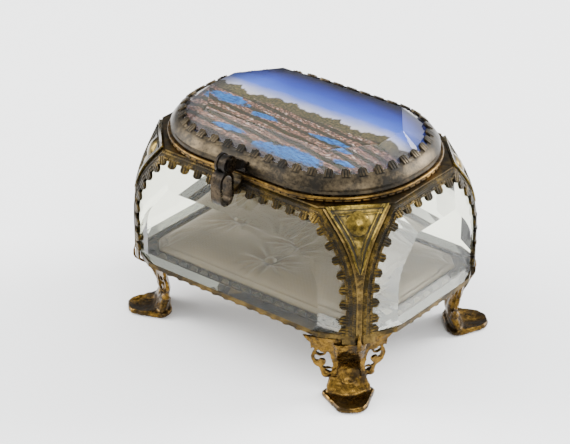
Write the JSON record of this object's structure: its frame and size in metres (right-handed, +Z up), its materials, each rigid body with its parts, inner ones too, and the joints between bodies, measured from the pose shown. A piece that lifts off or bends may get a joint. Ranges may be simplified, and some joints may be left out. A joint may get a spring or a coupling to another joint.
{
  "type": "glass casket",
  "caption": "Small glass-walled casket in a brass frame with scroll feet, a hinged bevelled-glass lid and a swinging clasp, for papers and keepsakes.",
  "frame": {"origin": "centre of the footprint, on the surface that the feet stand on", "axes": "+X along the long side, +Y from the clasp towards the hinge, +Z up"},
  "size_m": [0.0903, 0.0698, 0.0664],
  "materials": {
    "wall_glass": "clear polished, bevelled",
    "lid_glass": "clear polished, bevelled",
    "dark_brass": "aged, dark patina",
    "bezel_brass": "aged, brown patina",
    "bright_gilt": "worn gilt",
    "gilt_brass": "cast, worn gilt",
    "copper_brown": "aged, rubbed",
    "silk": "tufted silk, dull sheen",
    "picture": "printed picture under the glass"
  },
  "bodies": {
    "casket": {"front_glass": "wall_glass", "right_glass": "wall_glass", "back_glass": "wall_glass", "left_glass": "wall_glass", "front_gallery": "dark_brass", "right_gallery": "dark_brass", "back_gallery": "dark_brass", "left_gallery": "dark_brass", "corner_post_front_right": "dark_brass", "corner_post_back_right": "dark_brass", "corner_post_back_left": "dark_brass", "corner_post_front_left": "dark_brass", "spandrel_front_right": "bright_gilt", "spandrel_back_right": "bright_gilt", "spandrel_back_left": "bright_gilt", "spandrel_front_left": "bright_gilt", "foot_front_right": "gilt_brass", "foot_back_right": "gilt_brass", "foot_back_left": "gilt_brass", "foot_front_left": "gilt_brass", "base_gallery": "dark_brass", "base_plate": "dark_brass", "base_pad": "silk", "pad_buttons": "silk", "top_plate": "dark_brass", "top_rim": "gilt_brass", "catch_plate": "dark_brass", "hinge_frame_leaf": "dark_brass", "hinge_pin": "gilt_brass"},
    "lid": {"lid_bezel": "bezel_brass", "lid_glass": "lid_glass", "lid_print": "picture", "lid_backing": "dark_brass", "hinge_lid_leaf": "dark_brass", "clasp_bracket": "copper_brown", "clasp_pin": "copper_brown"},
    "hasp": {"clasp_hasp": "copper_brown"}
  },
  "joints": [
    {"name": "lid_hinge", "type": "hinge", "parent": "casket", "child": "lid", "pos_m": [0, 0.03235, 0.0576], "axis": [-1, 0, 0], "range_deg": [0, 105]},
    {"name": "hasp_pivot", "type": "hinge", "parent": "lid", "child": "hasp", "pos_m": [0, -0.03075, 0.0624], "axis": [-1, 0, 0], "range_deg": [0, 110]}
  ]
}
